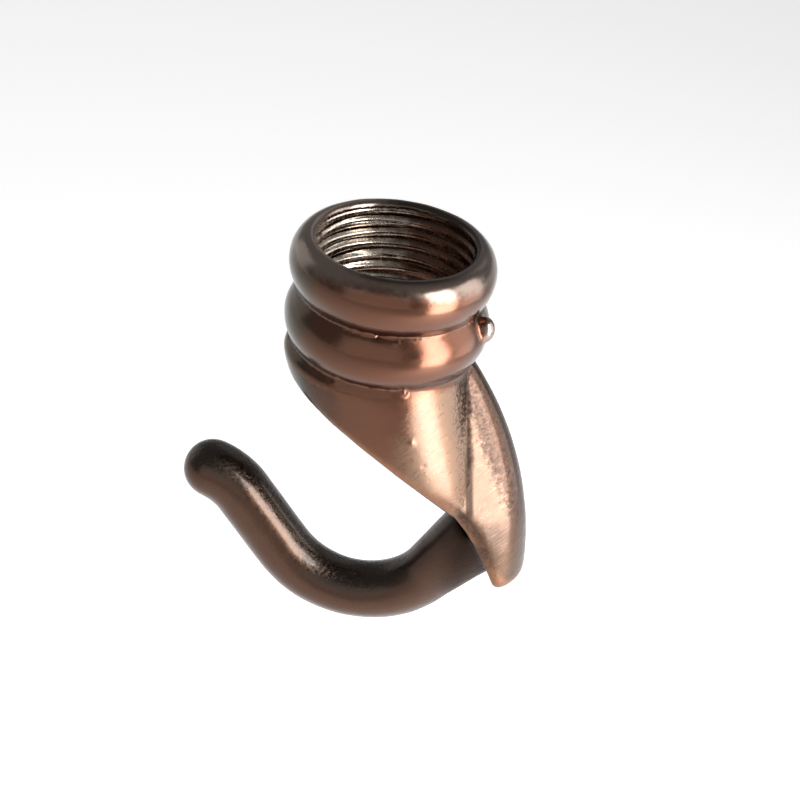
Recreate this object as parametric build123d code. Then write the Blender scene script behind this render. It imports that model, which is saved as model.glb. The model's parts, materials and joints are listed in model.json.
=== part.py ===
from build123d import *

"""A cast ceiling hook: a threaded collar with two round beads, a leaf-like sheath and a keel
that grow out of it, and a round bar that leaves the keel and is bent up into an open hook.

Millimetres. +Z points up along the thread, and the origin is the centre of the collar's mouth.
The hook is symmetric about the plane Y = 0. Its keel is on the +X side, and it opens towards -X.
"""

import os
from math import cos, hypot, pi, radians, sin, tan

# Collar: a threaded bore and two beads
BORE_RADIUS = 5.96  # over the crests of a 13 mm x 1 mm thread
THREAD_DEPTH = 9.5  # from the mouth to the end of the thread
MOUTH_ROUND = 0.3  # inside edge of the mouth
BEAD_RADIUS = 7.95
BEAD_HEIGHT = 4.55
GROOVE_DEPTH = 0.95
UNDERCUT_SHARE = 0.28  # of the groove's depth, half way down from the bead's widest level

# Sheath: a slanted round wall around the wire way
SHEATH_TOP_RADIUS = 7.4
SHEATH_END_RADIUS = 5.9
SHEATH_OFFSET = -0.6  # its centre at the lower groove
SHEATH_LEAN = 4.5  # how far its centre has moved to the keel at the tip's level
LEAN_CURVE = 1.2  # above 1 the lean starts more slowly
NARROWING = 2.5  # above 1 the wall narrows more towards its end
ROOT_SHARE = 0.4  # of its radius, from its centre to the flat root of the keel
SHOULDER_ROUND = 0.8
WIRE_WAY_RADIUS = 5.5  # the cored way below the thread

# Keel: a wedge behind the sheath with slanted flat sides and a round back, widening to the tip
KEEL_LENGTH = 19.8  # from the lower groove to the tip
KEEL_REACH = 13.85  # X of its back at the tip
KEEL_BACK_RADIUS = 32.0  # curve of its back, seen from the side
KEEL_TOP_RADIUS = 1.2  # round of its back in a level section
KEEL_TIP_RADIUS = 4.2
KEEL_SIDE_TILT = 30.0  # degrees that each side turns from the Y direction towards the back
TIP_ROUND = 1.1

# Throat: the round scoop that opens the sheath and the keel towards the hook
THROAT_RADIUS = 29.0
THROAT_TOP = (-7.8, -11.3)  # X and Z where it leaves the sheath
THROAT_BOTTOM = (11.8, -28.8)  # X and Z where it leaves the keel's tip

# Bar: a round rod with a domed end, on a root that thickens towards the keel
BAR_RADIUS = 2.47
BAR_ROOT_RADIUS = 3.2
BOWL_RADIUS = 7.82  # on the rod's centre line
BOWL_CENTRE = (-0.29, -25.9)
ROOT_SLOPE = 54.4  # degrees from level, on the keel's side of the bowl
ROOT_LENGTH = 6.9
ARM_SLOPE = 51.3  # degrees from level, on the open side
ARM_LENGTH = 6.1
CURL_RADIUS = 5.5
CURL_TURN = 34.5  # degrees that the end curls back outwards

COLLAR_HEIGHT = 2 * BEAD_HEIGHT
GROOVE_RADIUS = BEAD_RADIUS - GROOVE_DEPTH
BURIED = 1.0  # how far one form runs into the next


def collar():
    """The two beads over a core that runs into the sheath, with its bore."""
    mid = BEAD_HEIGHT / 2
    crown = BORE_RADIUS + MOUTH_ROUND
    foot = -COLLAR_HEIGHT - BURIED
    mouth = RadiusArc((BORE_RADIUS, -MOUTH_ROUND), (crown, 0), MOUTH_ROUND)
    lip = EllipticalCenterArc((crown, -mid), BEAD_RADIUS - crown, mid, start_angle=0, arc_size=90)
    under_lip = ThreePointArc(
        (BEAD_RADIUS, -mid),
        (BEAD_RADIUS - GROOVE_DEPTH * UNDERCUT_SHARE, -1.5 * mid),
        (GROOVE_RADIUS, -BEAD_HEIGHT),
    )
    lower_bead = ThreePointArc(
        (GROOVE_RADIUS, -BEAD_HEIGHT), (BEAD_RADIUS, -3 * mid), (GROOVE_RADIUS, -COLLAR_HEIGHT)
    )
    core = Polyline(
        (GROOVE_RADIUS, -COLLAR_HEIGHT), (GROOVE_RADIUS, foot), (BORE_RADIUS, foot), (BORE_RADIUS, -MOUTH_ROUND)
    )
    section = make_face(Plane.XZ * Curve([mouth, lip, under_lip, lower_bead, core]))
    return revolve(section, Axis.Z)


def level(depth):
    """Places a level section, by its depth below the lower groove."""
    return Pos(0, 0, -COLLAR_HEIGHT - depth)


def sheath_circle(share):
    """X of the centre and radius of the sheath, at a share of the keel's length."""
    x = SHEATH_OFFSET + SHEATH_LEAN * sin(pi / 2 * max(0, share)) ** LEAN_CURVE
    radius = SHEATH_TOP_RADIUS + (SHEATH_END_RADIUS - SHEATH_TOP_RADIUS) * max(0, share) ** NARROWING
    return x, radius


def sheath():
    """The slanted round wall below the beads, solid for now, with a round shoulder."""
    discs = []
    for share in (0, 0.2, 0.4, 0.6, 0.8, 1, 1.1):
        x, radius = sheath_circle(share)
        discs.append(level(KEEL_LENGTH * share) * Pos(x, 0, 0) * Rot(0, 0, 180) * Circle(radius))
    wall = loft(discs)
    return fillet(wall.edges().sort_by(Axis.Z)[-1], SHOULDER_ROUND)


def keel_section(share):
    """The wedge in a level plane: a flat root inside the sheath, two sides and a round back."""
    rise = KEEL_LENGTH * (1 - share)
    back = KEEL_REACH - KEEL_BACK_RADIUS + (KEEL_BACK_RADIUS**2 - rise**2) ** 0.5
    radius = KEEL_TOP_RADIUS + (KEEL_TIP_RADIUS - KEEL_TOP_RADIUS) * share
    tilt = radians(KEEL_SIDE_TILT)
    touch_x, touch_y = back - radius + radius * sin(tilt), radius * cos(tilt)
    sheath_x, sheath_radius = sheath_circle(share)
    root_x = sheath_x + ROOT_SHARE * sheath_radius
    root_y = touch_y + (touch_x - root_x) * tan(tilt)
    outline = [
        Line((root_x, -root_y), (touch_x, -touch_y)),
        ThreePointArc((touch_x, -touch_y), (back, 0), (touch_x, touch_y)),
        Line((touch_x, touch_y), (root_x, root_y)),
        Line((root_x, root_y), (root_x, -root_y)),
    ]
    return level(KEEL_LENGTH * share) * make_face(Wire(outline))


def keel():
    """The wedge behind the sheath, whose back follows an arc down to its rounded tip."""
    lobe = loft([keel_section(share) for share in (-BURIED / KEEL_LENGTH, 0.25, 0.5, 0.75, 1)])
    tip = lobe.faces().sort_by(Axis.Z)[0]
    return fillet(tip.edges().sort_by(Axis.X)[1:], TIP_ROUND)


def drilling():
    """What the thread and the wire way below it take out."""
    hang = (Align.CENTER, Align.CENTER, Align.MAX)
    bore = Cylinder(BORE_RADIUS, THREAD_DEPTH, align=hang)
    wire_way = Pos(0, 0, -THREAD_DEPTH) * Cylinder(WIRE_WAY_RADIUS, KEEL_LENGTH, align=hang)
    return bore + wire_way


def throat_centre():
    """X and Z of the scoop's axis, from its radius and its two ends."""
    (x0, z0), (x1, z1) = THROAT_TOP, THROAT_BOTTOM
    chord = hypot(x1 - x0, z1 - z0)
    back = (THROAT_RADIUS**2 - (chord / 2) ** 2) ** 0.5
    return (x0 + x1) / 2 + (z1 - z0) / chord * back, (z0 + z1) / 2 - (x1 - x0) / chord * back


def scoop():
    """The throat as a solid: a cylinder that lies across the hook."""
    x, z = throat_centre()
    return Pos(x, 0, z) * Rot(90, 0, 0) * Cylinder(THROAT_RADIUS, 4 * BEAD_RADIUS)


def bar_path():
    """Centre line of the rod from the bowl on: bowl, straight arm and curled end."""
    cx, cz = BOWL_CENTRE
    rise, slope, turn = radians(ROOT_SLOPE), radians(ARM_SLOPE), radians(CURL_TURN)
    bowl_start = (cx + BOWL_RADIUS * sin(rise), cz - BOWL_RADIUS * cos(rise))
    bowl_end = (cx - BOWL_RADIUS * sin(slope), cz - BOWL_RADIUS * cos(slope))
    arm_end = (bowl_end[0] - ARM_LENGTH * cos(slope), bowl_end[1] + ARM_LENGTH * sin(slope))
    curl_x = arm_end[0] - CURL_RADIUS * sin(slope)
    curl_z = arm_end[1] - CURL_RADIUS * cos(slope)
    curl = [
        (curl_x + CURL_RADIUS * sin(slope - part), curl_z + CURL_RADIUS * cos(slope - part))
        for part in (turn / 2, turn)
    ]
    pieces = [
        ThreePointArc(bowl_start, (cx, cz - BOWL_RADIUS), bowl_end),
        Line(bowl_end, arm_end),
        ThreePointArc(arm_end, *curl),
    ]
    return Plane.XZ * Wire(pieces)


def bar():
    """The rod swept along its centre line, with a tapered root and a domed end."""
    path = bar_path()
    rod = sweep(Plane(origin=path @ 0, z_dir=path % 0) * Circle(BAR_RADIUS), path=path)
    root = Plane(origin=path @ 0, z_dir=(path % 0) * -1) * Cone(
        BAR_RADIUS, BAR_ROOT_RADIUS, ROOT_LENGTH, align=(Align.CENTER, Align.CENTER, Align.MIN)
    )
    end = Plane(origin=path @ 1, z_dir=path % 1) * Sphere(
        BAR_RADIUS, arc_size1=0, align=(Align.CENTER, Align.CENTER, Align.MIN)
    )
    return rod + root + end


def hook():
    """The whole casting."""
    body = sheath() + keel() - scoop() + collar()
    return body - drilling() + bar()


os.makedirs("parts", exist_ok=True)
ceiling_hook = hook()
export_step(ceiling_hook, "parts/ceiling_hook.step")
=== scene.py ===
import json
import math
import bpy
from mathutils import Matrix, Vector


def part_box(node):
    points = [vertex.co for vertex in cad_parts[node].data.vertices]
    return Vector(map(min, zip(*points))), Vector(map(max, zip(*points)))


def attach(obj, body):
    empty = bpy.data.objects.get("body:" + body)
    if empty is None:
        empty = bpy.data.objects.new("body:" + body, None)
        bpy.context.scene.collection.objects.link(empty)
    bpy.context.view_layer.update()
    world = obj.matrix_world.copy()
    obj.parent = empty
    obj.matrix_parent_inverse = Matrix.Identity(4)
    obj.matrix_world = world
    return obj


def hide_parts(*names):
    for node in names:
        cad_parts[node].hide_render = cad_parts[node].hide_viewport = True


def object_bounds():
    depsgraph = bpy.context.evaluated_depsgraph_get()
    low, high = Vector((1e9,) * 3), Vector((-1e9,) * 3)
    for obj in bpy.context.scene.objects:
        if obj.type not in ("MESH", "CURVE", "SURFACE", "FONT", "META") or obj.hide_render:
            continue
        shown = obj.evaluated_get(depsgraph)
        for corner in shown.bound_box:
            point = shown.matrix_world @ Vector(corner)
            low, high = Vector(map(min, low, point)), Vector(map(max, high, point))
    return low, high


bl_info = {
    "name": "Cast ceiling hook",
    "version": (1, 0, 0),
    "blender": (4, 5, 0),
    "location": "3D View > Sidebar > Hook",
    "description": "Builds a cast ceiling hook in antique copper, with its thread and a studio stage",
    "category": "Add Mesh",
}

import bpy
import numpy as np
import openvdb
from bpy.props import FloatProperty, FloatVectorProperty, IntProperty, PointerProperty
from mathutils import Matrix, Vector

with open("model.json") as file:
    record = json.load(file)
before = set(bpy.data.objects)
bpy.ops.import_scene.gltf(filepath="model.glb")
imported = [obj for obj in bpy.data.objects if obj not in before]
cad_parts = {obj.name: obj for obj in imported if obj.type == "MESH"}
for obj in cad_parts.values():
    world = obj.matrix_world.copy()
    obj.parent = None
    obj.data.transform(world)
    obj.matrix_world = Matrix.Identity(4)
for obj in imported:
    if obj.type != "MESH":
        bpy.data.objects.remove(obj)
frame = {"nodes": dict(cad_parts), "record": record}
cad_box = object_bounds()

MM = 0.001
NODE = "ceiling_hook"

# The round scoop of the throat, and the bevel along its edge.
THROAT_ENDS = ((-7.8 * MM, -11.3 * MM), (11.8 * MM, -28.8 * MM))  # X and Z where the scoop leaves the body
STEP_BACK = 0.8 * MM  # from the throat's edge to where the flank beside it is read
BEVEL_REACH = 1.6 * MM  # how near the skin a cell lies for the bevel to reach it
BEVEL_PLACES = (2, 7, 10, 12.5)  # X, in millimetres
BEVEL_SHARES = (0.35, 0.9, 1, 0.4)  # width of the bevel at those places, over its full width
BEVEL_DEPTH = 0.4  # its depth over its width

# The field that the skin of the casting is drawn from.
MARGIN_CELLS = 6  # cells around the solid
BAND_CELLS = 8.0  # how many cells from the skin the distance is kept
ROUGH_SEED = 7
ROUGH_CELLS = 3.2  # size of the patches where the skin sinks

# Small things on the casting, in millimetres.
DROPLET_PLACE = (7.65, -1.3, -5.7)
DROPLET_SQUEEZE = 0.75  # below 1 it is taller than wide
DROPLET_NECK = 0.35
MARK_NECK = 0.15
MARKS = (
    # X, Y and Z of small lumps and pits on the sheath, with their radius; a pit has a negative one
    (2.7, -6.45, -9.3, 0.30),
    (3.8, -6.5, -13.6, 0.24),
    (5.1, -6.3, -15.7, -0.15),
    (1.8, -6.95, -4.9, 0.16),
    (0.4, -7.0, -4.6, -0.18),
    (-2.3, -6.7, -9.1, 0.18),
)

# What the casting stores at its points for the material to read.
SWELL_REACH, SWELL_FULL = 0.45 * MM, 0.12 * MM
HOLLOW_REACH = 0.3 * MM
SHELTER_REACH = 0.75 * MM
BEVEL_FULL = -0.15 * MM  # a cut this deep is all bevel
BAR_EDGE = 0.5 * MM  # width over which the body gives way to the bar

# The thread. Its sleeve is a ring with the ridges on its inner side.
THREAD = next(m for m in frame["record"]["mounts"] if m["name"] == "thread")
THREAD_RADIUS = THREAD["dims"]["r_mm"] * MM
THREAD_LENGTH = THREAD["dims"]["length_mm"] * MM
THREAD_ROOM = 0.7 * MM  # from the mouth to the room for the sleeve, and from the thread's end to the room's
SLEEVE_TOP = -0.5 * MM
SLEEVE_PAST = 0.3 * MM  # how far the sleeve goes on beyond the thread's length
SLEEVE_WALL = 0.25 * MM
ROOT_SINK = 0.04 * MM  # how much further out than the thread's depth its roots lie
ROWS_PER_TURN = 18
RIDGE_POWER = 3  # a higher one makes the crests broader
THREAD_SEED = 3
WANDER, WANDER_CELLS = 0.05, (14, 5)  # how far the ridges wander, in turns, and the size of a wave
CREST, CREST_SPREAD, CREST_CELLS = 0.85, 0.12, (12, 6)  # height of the ridges and how it varies
SCRATCH, SCRATCH_CELLS = 0.05, (9, 1.0)  # fine scratches along the turns
FADE_POWER = 0.7  # below 1 the ridges rise fast at the mouth

# Stage. Each lamp: name, turn and rise in degrees, distance, width and height in metres, brightness.
LAMPS = (
    ("key", -25, 15, 0.20, (0.10, 0.27), 12.6),
    ("side", 12, 12, 0.23, (0.13, 0.26), 2.8),
    ("fill", -95, 18, 0.42, (0.60, 0.32), 0.70),
    ("back", 75, 38, 0.40, (0.34, 0.28), 0.34),
    ("left", 156, 15, 0.40, (0.26, 0.24), 0.5),
)
WHITE = (1.0, 1.0, 1.0)
ROOM_LIGHT = 0.26
FLOOR_REACH = 3.0  # from the middle of the floor to its edge
AIM = (3.29, -6.24, 7.95)  # from the middle of the solid to where the camera looks, in millimetres
SENSOR_WIDTH = 36.0  # in millimetres
CLIP_START = 0.005


# ---------------------------------------------------------------- settings


class HookCastingSettings(bpy.types.PropertyGroup):
    cell: FloatProperty(
        name="Cell",
        description="Edge of a cell of the field that the skin of the casting is drawn from",
        default=0.185 * MM,
        min=0.1 * MM,
        unit="LENGTH",
    )
    edge_round: FloatProperty(
        name="Edge round",
        description="How far the sharp outer edges of the casting are worn round",
        default=0.28 * MM,
        unit="LENGTH",
    )
    fillet: FloatProperty(
        name="Corner fill",
        description="How far metal fills the inner corners of the casting",
        default=0.09 * MM,
        unit="LENGTH",
    )
    unevenness: FloatProperty(
        name="Unevenness",
        description="How far the skin of the casting sinks below its true form in places",
        default=0.03 * MM,
        unit="LENGTH",
    )
    bevel: FloatProperty(
        name="Bevel",
        description="Width of the bevel along the keel's edge of the throat",
        default=1.1 * MM,
        unit="LENGTH",
    )
    droplet: FloatProperty(
        name="Droplet",
        description="Radius of the drop of metal left on the lower bead",
        default=0.8 * MM,
        unit="LENGTH",
    )
    throat_radius: FloatProperty(
        name="Throat radius",
        description="Radius of the round scoop that parts the bar from the body",
        default=29.0 * MM,
        unit="LENGTH",
    )


class HookThreadSettings(bpy.types.PropertyGroup):
    pitch: FloatProperty(
        name="Pitch",
        description="Rise of the thread in one turn",
        default=1.0 * MM,
        unit="LENGTH",
    )
    depth: FloatProperty(
        name="Depth",
        description="Depth of the thread below its crests",
        default=0.32 * MM,
        unit="LENGTH",
    )
    lead_in: FloatProperty(
        name="Lead-in",
        description="Length at the mouth over which the thread fades in",
        default=1.1 * MM,
        unit="LENGTH",
    )
    steps: IntProperty(
        name="Steps",
        description="Faces in one turn of the thread",
        default=240,
        min=32,
    )


class HookFinishSettings(bpy.types.PropertyGroup):
    bronze: FloatVectorProperty(
        name="Bronze",
        description="Colour of the plating over most of the casting",
        default=(0.130, 0.054, 0.031),
        size=3,
        subtype="COLOR",
    )
    # Lighter than the bronze as painted light on the keel side, which faces the key lamp, where the plating is
    # also rubbed and brushed.
    copper: FloatVectorProperty(
        name="Copper",
        description="Colour where the plating is rubbed bright, on the keel and beside it",
        default=(0.178, 0.110, 0.073),
        size=3,
        subtype="COLOR",
    )
    brown: FloatVectorProperty(
        name="Brown",
        description="Colour of the plating on the flanks of the bar",
        default=(0.084, 0.040, 0.024),
        size=3,
        subtype="COLOR",
    )
    # Painted shade as well as a tone: it darkens the open side, away from the key lamp, and the keel's tip.
    tone_and_shade: FloatVectorProperty(
        name="Shade",
        description="Colour of the toned plating on the open side of the collar and sheath",
        default=(0.068, 0.051, 0.034),
        size=3,
        subtype="COLOR",
    )
    # Also a painted highlight, grey-white on the drop of metal on the lower bead.
    gunmetal_and_glint: FloatVectorProperty(
        name="Gunmetal",
        description="Colour of the greyer metal at the mouth and in the thread",
        default=(0.24, 0.185, 0.155),
        size=3,
        subtype="COLOR",
    )
    steel: FloatVectorProperty(
        name="Cut metal",
        description="Colour of the bare cut metal of the thread",
        default=(0.54, 0.46, 0.385),
        size=3,
        subtype="COLOR",
    )
    soot: FloatVectorProperty(
        name="Soot",
        description="Colour of the greyer plating on the top of the bar",
        default=(0.044, 0.031, 0.023),
        size=3,
        subtype="COLOR",
    )
    edge: FloatVectorProperty(
        name="Edge",
        description="Colour of the worn rims of the casting",
        default=(0.23, 0.105, 0.055),
        size=3,
        subtype="COLOR",
    )
    # Also laid on as painted shade: on the open side, the bevel, the crease, inside the mouth and between the
    # thread's ridges.
    patina_and_shade: FloatVectorProperty(
        name="Patina",
        description="Colour of the dark patina left in the hollows",
        default=(0.022, 0.013, 0.009),
        size=3,
        subtype="COLOR",
    )


class HookStageSettings(bpy.types.PropertyGroup):
    floor: FloatVectorProperty(
        name="Floor",
        description="Colour of the floor",
        default=(0.93, 0.93, 0.93),
        size=3,
        subtype="COLOR",
    )
    glow: FloatProperty(
        name="Glow",
        description="How much white the floor adds where a reflection sees it",
        default=0.42,
    )
    backdrop: FloatProperty(
        name="Backdrop",
        description="How much white the floor adds where the camera sees it",
        default=0.5,
    )
    drop: FloatProperty(
        name="Drop",
        description="How far the hook hangs above the floor",
        default=75.0 * MM,
        unit="LENGTH",
    )
    azimuth: FloatProperty(
        name="Azimuth",
        description="Turn of the camera about the thread's axis, from the front",
        default=math.radians(6.2),
        subtype="ANGLE",
    )
    elevation: FloatProperty(
        name="Elevation",
        description="How steeply the camera looks down",
        default=math.radians(32.6),
        subtype="ANGLE",
    )
    roll: FloatProperty(
        name="Roll",
        description="Tilt of the camera about its line of sight",
        default=math.radians(7.5),
        subtype="ANGLE",
    )
    distance: FloatProperty(
        name="Distance",
        description="From the camera to the plane of the hook",
        default=128.0 * MM,
        unit="LENGTH",
    )
    lens: FloatProperty(
        name="Lens",
        description="Focal length of the camera in millimetres",
        default=77.0,
        min=10.0,
    )


# ---------------------------------------------------------------- fields


def smooth_field(field, sigma):
    """A field blurred by a bell curve of width sigma, in cells, along each axis in turn."""
    reach = max(1, int(math.ceil(3 * sigma)))
    taps = np.exp(-0.5 * (np.arange(-reach, reach + 1) / sigma) ** 2)
    taps /= taps.sum()
    for axis in range(3):
        wide = [(0, 0)] * 3
        wide[axis] = (reach, reach)
        padded = np.pad(field, wide, mode="edge")
        field = sum(
            tap * np.take(padded, range(n, n + field.shape[axis]), axis=axis) for n, tap in enumerate(taps)
        ).astype(np.float32)
    return field


def streaks(rng, shape, along, across):
    """Random waves on a grid of rows and turns, so many cells long along the turn and across it."""
    wave = np.fft.fft2(rng.standard_normal(shape))
    rows, turns = (np.fft.fftfreq(count) for count in shape)
    spread = (rows[:, None] * across) ** 2 + (turns[None, :] * along) ** 2
    bell = np.exp(-2 * math.pi**2 * spread)
    noise = np.real(np.fft.ifft2(wave * bell))
    return noise / noise.std()


def smooth_union(a, b, blend):
    """Two fields joined, with a soft neck of width blend between them."""
    share = np.clip(0.5 + 0.5 * (b - a) / blend, 0, 1)
    return b + (a - b) * share - blend * share * (1 - share)


def node_field(node, cell, low, shape):
    """Signed distance, in metres, from the surface of a CAD node, on a grid of cells."""
    mesh = node.data
    mesh.calc_loop_triangles()
    points = np.empty(len(mesh.vertices) * 3, np.float32)
    mesh.vertices.foreach_get("co", points)
    corners = np.empty(len(mesh.loop_triangles) * 3, np.int32)
    mesh.loop_triangles.foreach_get("vertices", corners)
    points = (points.reshape(-1, 3) - np.array(low, np.float32)) / cell
    grid = openvdb.FloatGrid.createLevelSetFromPolygons(
        points,
        triangles=corners.reshape(-1, 3).astype(np.uint32),
        transform=openvdb.createLinearTransform(voxelSize=1.0),
        halfWidth=BAND_CELLS,
    )
    field = np.zeros(shape, np.float32)
    grid.copyToArray(field, ijk=(0, 0, 0))
    return field * cell


def skin_mesh(name, field, cell, low):
    """The surface where a field is nought, as a mesh of quads."""
    grid = openvdb.FloatGrid(float(field.max()))
    grid.copyFromArray(field)
    points, quads = grid.convertToQuads()
    points = points * cell + np.array(low)
    mesh = bpy.data.meshes.new(name)
    mesh.from_pydata(points.tolist(), [], quads[:, ::-1].tolist())
    mesh.update()
    return mesh


def field_at(field, points, cell, low):
    """A field read between its cells, at a row of points."""
    place = np.clip((points - np.array(low)) / cell, 0, np.array(field.shape) - 1.001)
    base = place.astype(int)
    part = place - base
    out = np.zeros(len(points))
    for i in (0, 1):
        for j in (0, 1):
            for k in (0, 1):
                weight = np.ones(len(points))
                for axis, step in enumerate((i, j, k)):
                    weight = weight * (part[:, axis] if step else 1 - part[:, axis])
                out += weight * field[base[:, 0] + i, base[:, 1] + j, base[:, 2] + k]
    return out


def mesh_points(mesh):
    """The points of a mesh, one to a row."""
    points = np.empty(len(mesh.vertices) * 3)
    mesh.vertices.foreach_get("co", points)
    return points.reshape(-1, 3)


def add_piece(name, mesh, material):
    """A shown piece of the hook, smooth, with its material, riding on the frame."""
    mesh.materials.append(material)
    mesh.shade_smooth()
    piece = bpy.data.objects.new(name, mesh)
    bpy.context.scene.collection.objects.link(piece)
    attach(piece, "root")
    return piece


# ---------------------------------------------------------------- materials

# Places where a mask rises from none to full, along X or Z, in millimetres. Where the larger number
# comes first, the mask rises as the place gets less.
BODY = (-9.2, -10.4)  # Z, sheath and keel, below the collar
FIRST_TONE_AND_SHADE = (1.0, -4.5)  # X, a thin tone towards the open side, part olive tone and part painted shade away from the key lamp
FULL_TONE_AND_SHADE = (-3.6, -6.0)  # X, the full tone and painted shade beyond it
OPEN_BODY_SHADE = (-0.5, -5.5)  # X, painted shade on the open side of the body, away from the key lamp
RUBBED_AND_LIT = (2.0, 5.5)  # X, rubbed and brushed towards the keel, its lighter colour painted light from the key lamp
BACK_SLOPE = 0.49  # how far the keel's back moves out in X for each millimetre down
BACK = (1.05, 1.9)  # the back, measured across that slope
BACK_TOP = (-9.2, -9.8)  # Z, upper end of the back
SHADED_TIP = (-21.2, -23.0)  # Z, tip of the keel, painted darker as shade where the light falls off
BEVEL_END = (5.5, 7.5)  # X, where the bevel is painted darker
MOUTH = (-1.0, 0.0)  # Z, lip of the collar
LIP_DROP = 0.12  # how much further down the lip's tone reaches for each millimetre away from X = 0
# A painted highlight: the drop of metal is turned grey-white.
DROPLET_GLINT_X = (7.65, 7.85)
DROPLET_GLINT_Z = (-9.0, -8.5)
BORE_WALL = (7.1, 6.6)  # distance from the axis, inner side of the lip
BORE_SHADE_SIDE = (-3.5, -0.5)  # X, the side of the bore towards the keel, painted in shade
BORE_SHADE_DOWN = (-2.5, -1.5)  # Z, as far down as its painted shade goes
LOW_BODY_SHADE = (-13.0, -17.5)  # Z, below which the hollows are painted darker, as shade in the crease's lower half
CREASE_SLOPE = 0.17  # how far the crease beside the keel moves out in X for each millimetre down
CREASE_IN, CREASE_OUT = (4.0, 5.1), (5.35, 5.15)  # speckled strip, measured across that slope
CREASE_FADE = (-12.5, -16.0)  # Z, where the strip thins out
FOOT_SHADE_IN, FOOT_SHADE_OUT = (5.0, 5.2), (5.8, 5.5)  # painted shade in the crease's lower half, where its valley lies in shadow
FOOT_SHADE_TOP, FOOT_SHADE_END = (-13.5, -17.5), (-21.8, -20.8)  # Z
BAR_ROOT = (6.0, 9.0)  # X, where the bar leaves the keel

# Bands of other measures: how far the skin faces up, how deep the bevel is, how worn, how sheltered.
BAR_TOP = (0.15, 0.65)
BAR_PITS = (0.35, 0.8)
BEVEL_SHADE = (0.1, 0.5)
RIM_WORN = (0.5, 1.1)
HOLLOW_STAIN = (0.26, 0.75)
SHELTER_FLECKS = (0.3, 0.7)
CREASE_SPOTS = (0.05, 0.35)

# Noise: waves to a millimetre, detail and roughness.
BLOTCHES = (0.35, 3.0, 0.55)
GRAIN = (2.4, 5.0, 0.7)
STROKES = (0.7, 4.0, 0.62)
MOTTLING = (3.6, 4.0, 0.65)
BACK_SPOTS = (2.9, 4.0, 0.7)
SPECKLES = (4.2, 4.0, 0.7)
PITS = (3.2, 3.0, 0.6)
DRIFT_SWING, FLECK_SWING, SPECKLE_SWING = 5.0, 4.0, 1.8  # how far blotches, grain and speckles move an edge
STROKE_TURN = math.radians(-38)  # the brush strokes rise towards +X, across the keel
STROKE_SQUASH = 0.11  # width of a stroke over its length
BUMP_DEPTH = 0.1 * MM


def between(first, second, share):
    """A colour that lies that share of the way from the first to the second."""
    return tuple(a + (b - a) * share for a, b in zip(first, second))


def new_material(name):
    """A new material, with the helper for its nodes and its shader."""
    material = bpy.data.materials.new(name)
    material.use_nodes = True
    return material, Nodes(material.node_tree), material.node_tree.nodes["Principled BSDF"]


class Nodes:
    """Short calls for the shader nodes of one material; a value is a number, a colour or a socket."""

    def __init__(self, tree):
        self.tree = tree

    def put(self, kind, inputs=None, **settings):
        """A new node with its settings and what its inputs take."""
        node = self.tree.nodes.new(kind)
        for key, value in settings.items():
            setattr(node, key, value)
        for key, value in (inputs or {}).items():
            self.feed(node.inputs[key], value)
        return node

    def feed(self, socket, value):
        """Links a socket to an input, or sets the input to a number or a colour."""
        if isinstance(value, bpy.types.NodeSocket):
            self.tree.links.new(value, socket)
        elif socket.type == "RGBA":
            socket.default_value = (*value, 1.0)
        else:
            socket.default_value = value

    def math(self, operation, *values):
        """One step of arithmetic."""
        node = self.put("ShaderNodeMath", operation=operation)
        for socket, value in zip(node.inputs, values):
            self.feed(socket, value)
        return node.outputs[0]

    def plus(self, a, b):
        return self.math("ADD", a, b)

    def times(self, a, b):
        return self.math("MULTIPLY", a, b)

    def most(self, a, b):
        return self.math("MAXIMUM", a, b)

    def swing(self, value, size):
        """Noise turned into a swing about nought."""
        return self.times(self.math("SUBTRACT", value, 0.5), size)

    def ramp(self, value, band, out=(0.0, 1.0)):
        """A soft step from the first output to the second across a band."""
        inputs = {"Value": value, "From Min": band[0], "From Max": band[1], "To Min": out[0], "To Max": out[1]}
        return self.put("ShaderNodeMapRange", inputs, interpolation_type="SMOOTHSTEP").outputs[0]

    def noise(self, place, kind):
        """Noise of a kind: its waves to a millimetre, detail and roughness."""
        scale, detail, rough = kind
        inputs = {"Vector": place, "Scale": scale, "Detail": detail, "Roughness": rough}
        return self.put("ShaderNodeTexNoise", inputs).outputs[0]

    def mix(self, mask, a, b):
        """Colour a, with colour b laid over it where the mask is full."""
        return self.put("ShaderNodeMix", {0: mask, 6: a, 7: b}, data_type="RGBA").outputs[2]

    def millimetres(self, place):
        """A place in metres, given in millimetres."""
        return self.put("ShaderNodeVectorMath", {0: place, "Scale": 1 / MM}, operation="SCALE").outputs[0]

    def parts(self, vector):
        """The X, Y and Z of a vector."""
        return self.put("ShaderNodeSeparateXYZ", {0: vector}).outputs

    def stored(self, name):
        """A value that the mesh stores at its points."""
        return self.put("ShaderNodeAttribute", attribute_name=name).outputs["Fac"]

    def bump(self, height, strength):
        """Fine relief for a shader's normal."""
        inputs = {"Height": height, "Strength": strength, "Distance": BUMP_DEPTH}
        return self.put("ShaderNodeBump", inputs).outputs[0]


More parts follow.
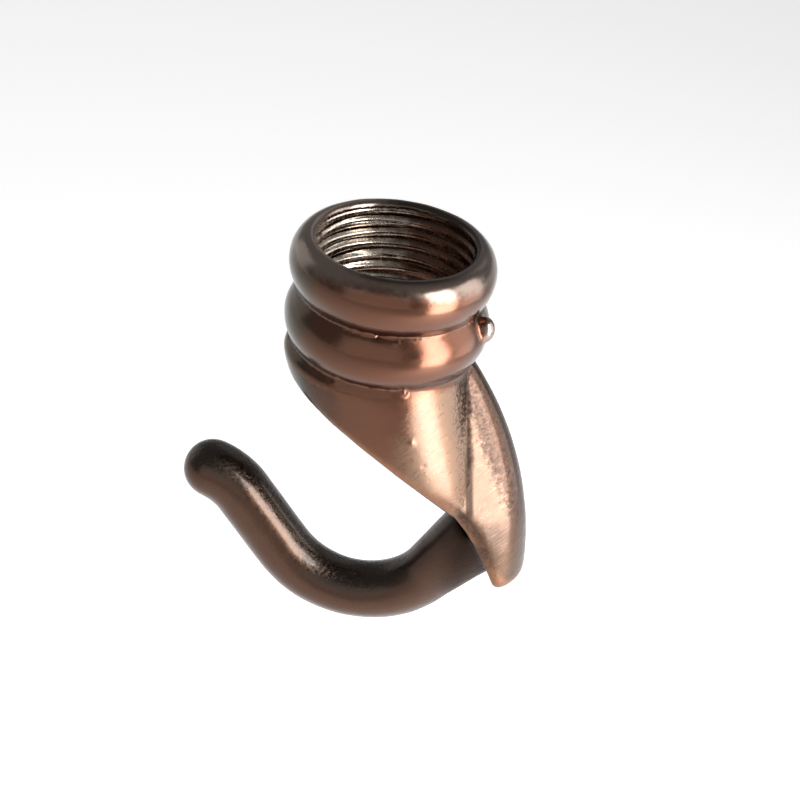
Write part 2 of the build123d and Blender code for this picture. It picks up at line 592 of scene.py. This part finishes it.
class CopperMasks:
    """Where each tone, stain, gloss and painted light or shade of the casting's copper lies."""

    def __init__(self, n):
        self.n = n
        source = n.put("ShaderNodeTexCoord").outputs
        self.place = n.millimetres(source["Object"])
        self.x, self.y, self.z = n.parts(self.place)
        self.up = n.parts(source["Normal"])[2]
        self.grain = n.noise(self.place, GRAIN)
        self.brushed = n.noise(self.strokes(), STROKES)
        self.drift = n.swing(n.noise(self.place, BLOTCHES), DRIFT_SWING)
        self.fleck = n.swing(self.grain, FLECK_SWING)
        self.speckle = n.swing(n.noise(self.place, SPECKLES), SPECKLE_SWING)
        self.bar = n.stored("bar")
        self.body = n.ramp(self.z, BODY)
        # the keel side: brushed wear, and a lighter colour that is painted light from the key lamp
        self.rubbed_and_lit = n.times(self.body, n.ramp(n.plus(self.x, self.drift), RUBBED_AND_LIT, (0.0, 0.9)))
        self.stain_and_shade = self.stained_and_shaded()

    def flecked(self, value, share):
        """A value with its edge broken up by flecks."""
        return self.n.plus(value, self.n.times(self.fleck, share))

    def strokes(self):
        """Places drawn out into brush strokes across the keel."""
        node = self.n.put("ShaderNodeMapping", {"Vector": self.place}, vector_type="TEXTURE")
        node.inputs["Rotation"].default_value = (0.0, STROKE_TURN, 0.0)
        node.inputs["Scale"].default_value = (1.0, 1.0, STROKE_SQUASH)
        return node.outputs[0]

    def coats(self, finish):
        """Masks, and the colours that they lay over the bronze, from first to last."""
        n = self.n
        edge_of_tone_and_shade = n.plus(self.x, n.times(self.drift, 0.8))
        back = self.back()
        flank = n.mix(n.ramp(self.up, BAR_TOP), finish.brown, finish.soot)
        return (
            # painted shade on the open side, away from the key lamp, mixed with the plating's olive tone
            (self.toned_and_shaded(edge_of_tone_and_shade), finish.tone_and_shade),
            # painted shade: the open side of the sheath darkened, away from the key lamp
            (n.times(self.body, n.ramp(edge_of_tone_and_shade, OPEN_BODY_SHADE, (0.0, 0.8))), finish.patina_and_shade),
            (self.rubbed_and_lit, finish.copper),
            (self.mottled(back), between(finish.brown, finish.patina_and_shade, 0.3)),
            (self.spotted(back), finish.patina_and_shade),
            (self.tip(), between(finish.tone_and_shade, finish.brown, 0.6)),
            (self.bevel(), between(finish.brown, finish.patina_and_shade, 0.45)),
            (self.rim(), finish.edge),
            (self.bar, flank),
            (self.mouth(), finish.gunmetal_and_glint),
            (self.shaded_bore_side(), finish.patina_and_shade),
            (self.stain_and_shade, finish.patina_and_shade),
        )

    def toned_and_shaded(self, edge_of_tone_and_shade):
        """The open side, away from the key lamp: a thin tone, then a full one, part olive tone of the plating
        and part painted shade.
        """
        thin = self.n.ramp(edge_of_tone_and_shade, FIRST_TONE_AND_SHADE, (0.0, 0.25))
        return self.n.most(thin, self.n.ramp(edge_of_tone_and_shade, FULL_TONE_AND_SHADE, (0.0, 0.95)))

    def back(self):
        """The back of the keel."""
        n = self.n
        slope = n.plus(n.times(self.z, BACK_SLOPE), self.x)
        return n.times(n.ramp(self.flecked(slope, 0.6), BACK), n.ramp(self.z, BACK_TOP))

    def mottled(self, back):
        """The keel's back, uneven in tone."""
        noise = self.n.noise(self.place, MOTTLING)
        return self.n.times(back, self.n.ramp(noise, (0.42, 0.58), (0.7, 1.0)))

    def spotted(self, back):
        """Dark spots on the keel's back."""
        noise = self.n.noise(self.place, BACK_SPOTS)
        return self.n.times(back, self.n.ramp(noise, (0.48, 0.6), (0.2, 0.75)))

    def tip(self):
        """Painted shade on the tip of the keel, where the light falls off, broken by brush strokes."""
        n = self.n
        return n.times(n.ramp(self.flecked(self.z, 0.6), SHADED_TIP), n.ramp(self.brushed, (0.36, 0.6), (0.75, 1.0)))

    def bevel(self):
        """Painted shade on the bevel along the keel's edge of the throat, which turns away from the key lamp.
        """
        n = self.n
        return n.times(n.ramp(n.stored("bevel"), BEVEL_SHADE), n.ramp(self.x, BEVEL_END))

    def rim(self):
        """Outer edges that are worn to bare metal."""
        n = self.n
        return n.times(self.body, n.ramp(self.flecked(n.stored("swell"), 0.2), RIM_WORN, (0.0, 0.9)))

    def mouth(self):
        """The lip of the collar, and a painted highlight on the drop of metal."""
        n = self.n
        high = n.plus(self.z, n.times(n.math("ABSOLUTE", self.x), LIP_DROP))
        lip = n.ramp(self.flecked(high, 0.2), MOUTH, (0.0, 0.9))
        return n.most(lip, n.times(n.ramp(self.x, DROPLET_GLINT_X), n.ramp(self.z, DROPLET_GLINT_Z)))

    def shaded_bore_side(self):
        """Painted shade on the bore's side towards the keel, just inside the lip, where the rim hides the key
        lamp.
        """
        n = self.n
        across = n.math("SQRT", n.plus(n.times(self.x, self.x), n.times(self.y, self.y)))
        side = n.ramp(n.plus(self.x, self.fleck), BORE_SHADE_SIDE, (0.0, 0.85))
        return n.times(n.times(n.ramp(across, BORE_WALL), side), n.ramp(self.z, BORE_SHADE_DOWN))

    def stained_and_shaded(self):
        """Dark patina in hollows and speckles beside the keel, painted shade in the crease's lower half, and
        darker at the root of the bar.
        """
        n = self.n
        # lower on the body the hollows are darkened more, as painted shade along the crease
        deep = n.plus(self.flecked(n.stored("hollow"), 0.08), n.ramp(self.z, LOW_BODY_SHADE, (0.0, 0.16)))
        sheltered = n.ramp(n.plus(n.stored("shelter"), self.speckle), SHELTER_FLECKS, (0.0, 0.8))
        stain_and_shade = n.most(n.most(n.ramp(deep, HOLLOW_STAIN), sheltered), self.crease())
        stain_and_shade = n.times(stain_and_shade, n.math("SUBTRACT", 1.0, self.bar))
        return n.most(stain_and_shade, n.times(self.bar, n.ramp(self.x, BAR_ROOT, (0.0, 0.8))))

    def crease(self):
        """A speckled strip along the crease beside the keel, and painted shade in its lower half."""
        n = self.n
        crease = n.plus(n.times(self.z, CREASE_SLOPE), self.x)
        strip = n.times(n.ramp(crease, CREASE_IN), n.ramp(crease, CREASE_OUT))
        strip = n.times(strip, n.times(self.body, n.ramp(self.z, CREASE_FADE, (1.0, 0.55))))
        speckled = n.times(strip, n.ramp(n.plus(self.speckle, n.times(strip, 0.3)), CREASE_SPOTS))
        # painted shade: the valley of the crease's lower half darkened
        foot = n.times(n.ramp(crease, FOOT_SHADE_IN), n.ramp(crease, FOOT_SHADE_OUT))
        foot = n.times(foot, n.times(n.ramp(self.z, FOOT_SHADE_TOP), n.ramp(self.z, FOOT_SHADE_END, (0.0, 0.75))))
        return n.most(speckled, foot)

    def sheen(self):
        """A thin clear coat, less of it over patina and painted shade."""
        n = self.n
        return n.plus(n.ramp(self.stain_and_shade, (0.0, 1.0), (0.28, 0.02)), n.times(self.bar, 0.08))

    def roughness(self):
        """Smoothest on the collar, brushed on the keel, dull over patina and painted shade."""
        n = self.n
        rough = n.ramp(self.grain, (0.3, 0.7), (0.17, 0.25))
        rough = n.plus(rough, n.times(self.rubbed_and_lit, n.ramp(self.brushed, (0.3, 0.7), (0.06, 0.24))))
        rough = n.plus(rough, n.times(self.bar, 0.07))
        return n.plus(rough, n.times(self.stain_and_shade, 0.25))

    def relief(self):
        """Grain all over, brush strokes on the keel and pits on the top of the bar."""
        n = self.n
        pitted = n.times(self.bar, n.ramp(self.up, BAR_PITS))
        pits = n.ramp(n.noise(self.place, PITS), (0.4, 0.6), (0.0, 1.5))
        skin = n.plus(n.times(self.grain, 0.5), n.times(self.brushed, self.rubbed_and_lit))
        return n.plus(skin, n.times(pitted, pits))


def copper_material():
    """Antique copper: rubbed bright and painted lighter on the keel, toned and painted darker on the open side,
    dark patina in the hollows, and painted shade in places.
    """
    finish = bpy.context.scene.hook_finish
    material, n, shader = new_material("antique copper")
    masks = CopperMasks(n)
    base = finish.bronze
    for mask, colour in masks.coats(finish):
        base = n.mix(mask, base, colour)
    n.feed(shader.inputs["Base Color"], base)
    shader.inputs["Metallic"].default_value = 1.0
    n.feed(shader.inputs["Coat Weight"], masks.sheen())
    shader.inputs["Coat Roughness"].default_value = 0.15
    n.feed(shader.inputs["Roughness"], masks.roughness())
    n.feed(shader.inputs["Normal"], n.bump(masks.relief(), 0.25))
    return material


def thread_material():
    """Cut metal on the crests of the thread, with painted shade towards the keel, where the rim hides the key
    lamp, and painted shade between the crests.
    """
    finish = bpy.context.scene.hook_finish
    material, n, shader = new_material("threaded bore")
    place = n.millimetres(n.put("ShaderNodeTexCoord").outputs["Object"])
    grain = n.noise(place, (2.0, 4.0, 0.6))
    blotch = n.swing(n.noise(place, (0.9, 3.0, 0.6)), 5.0)
    painted_shade = n.ramp(n.plus(n.parts(place)[0], blotch), (-2.6, 0.9), (0.0, 0.96))
    base = n.mix(painted_shade, finish.steel, finish.brown)
    # painted shade: the roots between the ridges darkened
    raised = n.ramp(n.plus(n.stored("crest"), n.swing(grain, 0.8)), (-0.1, 0.45))
    n.feed(shader.inputs["Base Color"], n.mix(raised, finish.patina_and_shade, base))
    shader.inputs["Metallic"].default_value = 1.0
    n.feed(shader.inputs["Roughness"], n.ramp(grain, (0.3, 0.7), (0.18, 0.32)))
    n.feed(shader.inputs["Normal"], n.bump(n.noise(place, (5.0, 3.0, 0.6)), 0.15))
    return material


# ---------------------------------------------------------------- operators


class HookCastingOperator(bpy.types.Operator):
    """Skin of the casting: the solid with its edges worn round and its drop of metal"""

    bl_idname = "hook.casting"
    bl_label = "Casting"

    def execute(self, context):
        settings = context.scene.hook_casting
        cell = settings.cell
        low, high = (np.array(corner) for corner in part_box(NODE))
        margin = MARGIN_CELLS * cell
        low = low - margin
        shape = tuple(int(math.ceil(side / cell)) for side in high + margin - low)
        x, y, z = (low[axis] + cell * np.arange(shape[axis]) for axis in range(3))
        places = x[:, None, None], y[None, :, None], z[None, None, :]

        sharp = node_field(frame["nodes"][NODE], cell, low, shape)
        field = self.bevelled(settings, sharp, cell, low)
        field = np.maximum(field, smooth_field(field, settings.edge_round / cell))
        field = np.minimum(field, smooth_field(field, settings.fillet / cell))
        field = field + settings.unevenness * self.sinking(shape)
        field = self.with_droplet(field, places, settings.droplet)
        field = self.with_marks(field, places)
        field = np.maximum(field, -self.thread_room(places, context.scene.hook_thread.depth))

        mesh = skin_mesh("casting", field, cell, low)
        self.store_wear(settings, mesh, field, sharp, cell, low)
        piece = add_piece("casting", mesh, copper_material())
        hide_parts(NODE)
        return {"FINISHED"}

    def sinking(self, shape):
        """Where the skin sinks below its true form, from 0 to 1, in soft patches."""
        rng = np.random.default_rng(ROUGH_SEED)
        rough = smooth_field(rng.standard_normal(shape).astype(np.float32), ROUGH_CELLS)
        rough = rough / rough.std()
        return np.clip(0.5 + 0.25 * rough, 0, 1)

    def with_droplet(self, field, places, radius):
        """Adds the drop of metal on the lower bead."""
        x, y, z = (place - middle * MM for place, middle in zip(places, DROPLET_PLACE))
        drop = np.sqrt(x**2 + y**2 + (z * DROPLET_SQUEEZE) ** 2) - radius
        return smooth_union(field, drop.astype(np.float32), DROPLET_NECK * MM)

    def with_marks(self, field, places):
        """Adds the small lumps and cuts the small pits on the sheath."""
        for *middle, size in MARKS:
            x, y, z = (place - middle[axis] * MM for axis, place in enumerate(places))
            mark = np.sqrt(x**2 + y**2 + z**2) - abs(size) * MM
            if size > 0:
                field = smooth_union(field, mark, MARK_NECK * MM).astype(np.float32)
            else:
                field = np.maximum(field, -mark).astype(np.float32)
        return field

    def thread_room(self, places, depth):
        """Distance from the room that the thread's sleeve needs in the bore."""
        x, y, z = places
        room = np.maximum(np.sqrt(x**2 + y**2) - THREAD_RADIUS - depth, -THREAD_ROOM - z - THREAD_LENGTH)
        return np.maximum(room, z + THREAD_ROOM).astype(np.float32)

    def store_wear(self, settings, mesh, field, sharp, cell, low):
        """Stores what the material reads: worn edges, hollows, the bevel and the bar."""
        points = mesh_points(mesh)
        swell = field_at(smooth_field(field, SWELL_REACH / cell), points, cell, low)
        cut = field_at(sharp, points, cell, low)
        scoop = self.past_throat(settings, points)[0]
        for attribute, values in (
            ("swell", swell / SWELL_FULL),
            ("hollow", self.inward_curve(field, HOLLOW_REACH, points, cell, low)),
            ("shelter", self.inward_curve(field, SHELTER_REACH, points, cell, low)),
            ("bevel", np.clip(cut / BEVEL_FULL, 0, 1)),
            ("bar", np.clip(0.5 - scoop / BAR_EDGE, 0, 1)),
        ):
            layer = mesh.attributes.new(attribute, "FLOAT", "POINT")
            layer.data.foreach_set("value", values.astype(np.float32))

    def inward_curve(self, field, reach, points, cell, low):
        """How sharply the skin curves inward at each point, per millimetre, smoothed over that reach."""
        smooth = smooth_field(field, reach / cell)
        bend = sum(np.gradient(np.gradient(smooth, cell, axis=axis), cell, axis=axis) for axis in range(3))
        return field_at(bend, points, cell, low) * -MM

    def bevelled(self, settings, field, cell, low):
        """Cuts a bevel along the edge of the throat, wide on the keel and narrow on the sheath."""
        cells = np.argwhere(np.abs(field) < BEVEL_REACH)
        points = cells * cell + low
        scoop, away = self.past_throat(settings, points)
        near = (scoop > 0) & (scoop < settings.bevel)
        cells, points, scoop, away = cells[near], points[near], scoop[near], away[near]
        beyond = points + away * STEP_BACK
        rise = sum(
            field_at(slope, beyond, cell, low) * away[:, axis]
            for axis, slope in enumerate(np.gradient(field, cell))
        )
        side = STEP_BACK * rise - field_at(field, beyond, cell, low)
        face = settings.bevel * np.interp(points[:, 0] / MM, BEVEL_PLACES, BEVEL_SHARES)
        depth = BEVEL_DEPTH * face
        cut = (1 - side / depth - scoop / face) / np.sqrt(1 / face**2 + 1 / depth**2)
        out = field.copy()
        where = tuple(cells.T)
        out[where] = np.maximum(field[where], cut)
        return out

    def past_throat(self, settings, points):
        """How far beyond the round scoop each point is, and the level direction away from its axis."""
        (x0, z0), (x1, z1) = THROAT_ENDS
        radius = settings.throat_radius
        chord = math.hypot(x1 - x0, z1 - z0)
        back = math.sqrt(radius**2 - (chord / 2) ** 2)
        centre_x = (x0 + x1) / 2 + (z1 - z0) / chord * back
        centre_z = (z0 + z1) / 2 - (x1 - x0) / chord * back
        across = np.stack([points[:, 0] - centre_x, np.zeros(len(points)), points[:, 2] - centre_z], -1)
        distance = np.linalg.norm(across, axis=1)
        return distance - radius, across / distance[:, None]


class HookThreadOperator(bpy.types.Operator):
    """Thread in the collar's bore: a helical ridge that fades in at the mouth"""

    bl_idname = "hook.thread"
    bl_label = "Thread"

    def execute(self, context):
        settings = context.scene.hook_thread
        steps = settings.steps
        foot = -THREAD_LENGTH - SLEEVE_PAST
        rows = int((SLEEVE_TOP - foot) / settings.pitch * ROWS_PER_TURN)
        turn = np.linspace(0, 2 * math.pi, steps, endpoint=False)
        angle, level = np.meshgrid(turn, np.linspace(SLEEVE_TOP, foot, rows))
        phase = (level / settings.pitch + angle / (2 * math.pi)) % 1.0
        crest = self.worn_ridge(phase)
        crest = crest * np.clip((SLEEVE_TOP - level) / settings.lead_in, 0, 1) ** FADE_POWER

        root = THREAD_RADIUS + settings.depth + ROOT_SINK
        radius = root - (settings.depth + ROOT_SINK) * crest
        inner = np.stack([radius * np.cos(angle), radius * np.sin(angle), level], -1).reshape(-1, 3)
        wall = THREAD_RADIUS + settings.depth + SLEEVE_WALL
        outer = [(wall * math.cos(a), wall * math.sin(a), z) for z in (SLEEVE_TOP, foot) for a in turn]
        points = np.concatenate([inner, np.array(outer)])

        mesh = bpy.data.meshes.new("thread")
        mesh.from_pydata(points.tolist(), [], self.sleeve_faces(rows, steps))
        mesh.update()
        crest = np.concatenate([crest.reshape(-1), np.zeros(len(outer))])
        mesh.attributes.new("crest", "FLOAT", "POINT").data.foreach_set("value", crest.astype(np.float32))
        add_piece("thread", mesh, thread_material())
        return {"FINISHED"}

    def worn_ridge(self, phase):
        """Height of the ridge, from 0 to 1, over its phase in a turn: uneven, and scratched along the turns."""
        rng = np.random.default_rng(THREAD_SEED)
        phase = (phase + WANDER * streaks(rng, phase.shape, *WANDER_CELLS)) % 1.0
        ridge = 1 - np.abs(np.cos(math.pi * phase)) ** RIDGE_POWER
        ridge = ridge * (CREST + CREST_SPREAD * streaks(rng, phase.shape, *CREST_CELLS))
        return np.clip(ridge + SCRATCH * streaks(rng, phase.shape, *SCRATCH_CELLS), 0, 1)

    def sleeve_faces(self, rows, steps):
        """Faces of the sleeve: its rows of ridges, its two ends and its outer wall."""
        foot = (rows - 1) * steps
        wall_top = rows * steps
        wall_foot = wall_top + steps
        faces = []
        for row in range(0, foot, steps):
            for s in range(steps):
                t = (s + 1) % steps
                faces.append((row + s, row + t, row + steps + t, row + steps + s))
        for s in range(steps):
            t = (s + 1) % steps
            faces.append((wall_top + s, wall_top + t, t, s))
            faces.append((foot + s, foot + t, wall_foot + t, wall_foot + s))
            faces.append((wall_foot + s, wall_foot + t, wall_top + t, wall_top + s))
        return faces


class HookStageOperator(bpy.types.Operator):
    """Pale floor, soft studio lamps and the camera"""

    bl_idname = "hook.stage"
    bl_label = "Stage"

    def execute(self, context):
        settings = context.scene.hook_stage
        low, high = cad_box
        middle = (low + high) / 2
        self.floor(settings, low)
        for lamp in LAMPS:
            self.lamp(middle, *lamp)
        self.world()
        self.camera(context, settings, middle)
        context.scene.view_settings.view_transform = "Standard"
        return {"FINISHED"}

    def floor(self, settings, low):
        """A pale floor well below the hook, white where the camera or a reflection sees it."""
        mesh = bpy.data.meshes.new("floor")
        corners = ((-1, -1), (1, -1), (1, 1), (-1, 1))
        level = low.z - settings.drop
        mesh.from_pydata([(x * FLOOR_REACH, y * FLOOR_REACH, level) for x, y in corners], [], [(0, 1, 2, 3)])
        material, n, shader = new_material("floor")
        n.feed(shader.inputs["Base Color"], settings.floor)
        shader.inputs["Roughness"].default_value = 0.9
        shader.inputs["Specular IOR Level"].default_value = 0.1
        path = n.put("ShaderNodeLightPath").outputs
        seen = n.times(path["Is Camera Ray"], settings.backdrop)
        mirrored = n.times(n.most(path["Is Glossy Ray"], path["Is Transmission Ray"]), settings.glow)
        n.feed(shader.inputs["Emission Color"], WHITE)
        n.feed(shader.inputs["Emission Strength"], n.most(seen, mirrored))
        mesh.materials.append(material)
        floor = bpy.data.objects.new("floor", mesh)
        bpy.context.scene.collection.objects.link(floor)

    def lamp(self, middle, name, turn, rise, distance, size, brightness):
        """An upright soft box at a turn and a rise in degrees, so many times as bright as a white card."""
        light = bpy.data.lights.new(name, "AREA")
        light.shape = "RECTANGLE"
        light.size, light.size_y = size
        light.energy = brightness * math.pi * size[0] * size[1]
        lamp = bpy.data.objects.new(name, light)
        across = Vector((math.cos(math.radians(turn)), math.sin(math.radians(turn)), 0))
        lift = Vector((0, 0, distance * math.tan(math.radians(rise))))
        lamp.location = middle + across * distance + lift
        lamp.rotation_mode = "QUATERNION"
        lamp.rotation_quaternion = (-across).to_track_quat("-Z", "Y")
        lamp.visible_camera = False
        bpy.context.scene.collection.objects.link(lamp)

    def world(self):
        """Even white light from all sides."""
        world = bpy.data.worlds.new("studio")
        world.use_nodes = True
        background = world.node_tree.nodes["Background"]
        background.inputs["Color"].default_value = (*WHITE, 1.0)
        background.inputs["Strength"].default_value = ROOM_LIGHT
        bpy.context.scene.world = world

    def camera(self, context, settings, middle):
        """The camera, turned about the thread's axis, tipped down and rolled a little."""
        data = bpy.data.cameras.new("camera")
        data.sensor_width = SENSOR_WIDTH
        data.lens = settings.lens
        data.clip_start = CLIP_START
        camera = bpy.data.objects.new("camera", data)
        aim = Matrix.Translation(middle + Vector(AIM) * MM)
        turn = Matrix.Rotation(settings.azimuth, 4, "Z")
        tip = Matrix.Rotation(math.pi / 2 - settings.elevation, 4, "X")
        away = Matrix.Translation((0, 0, settings.distance))
        lean = Matrix.Rotation(settings.roll, 4, "Z")
        camera.matrix_world = aim @ turn @ tip @ away @ lean
        context.scene.collection.objects.link(camera)
        context.scene.camera = camera


class HookPanel(bpy.types.Panel):
    """Lists the pieces of the hook and their settings"""

    bl_idname = "VIEW3D_PT_hook"
    bl_label = "Ceiling hook"
    bl_space_type = "VIEW_3D"
    bl_region_type = "UI"
    bl_category = "Hook"

    def draw(self, context):
        scene = context.scene
        for group, operator in (
            (scene.hook_casting, HookCastingOperator),
            (scene.hook_thread, HookThreadOperator),
            (scene.hook_finish, None),
            (scene.hook_stage, HookStageOperator),
        ):
            box = self.layout.box()
            for key in group.__annotations__:
                box.prop(group, key)
            if operator:
                box.operator(operator.bl_idname)


CLASSES = (
    HookCastingSettings,
    HookThreadSettings,
    HookFinishSettings,
    HookStageSettings,
    HookCastingOperator,
    HookThreadOperator,
    HookStageOperator,
    HookPanel,
)


def register():
    for cls in CLASSES:
        bpy.utils.register_class(cls)
    bpy.types.Scene.hook_casting = PointerProperty(type=HookCastingSettings)
    bpy.types.Scene.hook_thread = PointerProperty(type=HookThreadSettings)
    bpy.types.Scene.hook_finish = PointerProperty(type=HookFinishSettings)
    bpy.types.Scene.hook_stage = PointerProperty(type=HookStageSettings)


def unregister():
    del bpy.types.Scene.hook_casting
    del bpy.types.Scene.hook_thread
    del bpy.types.Scene.hook_finish
    del bpy.types.Scene.hook_stage
    for cls in reversed(CLASSES):
        bpy.utils.unregister_class(cls)


def main():
    register()
    bpy.ops.hook.casting()
    bpy.ops.hook.thread()
    bpy.ops.hook.stage()


if __name__ == "__main__":
    main()
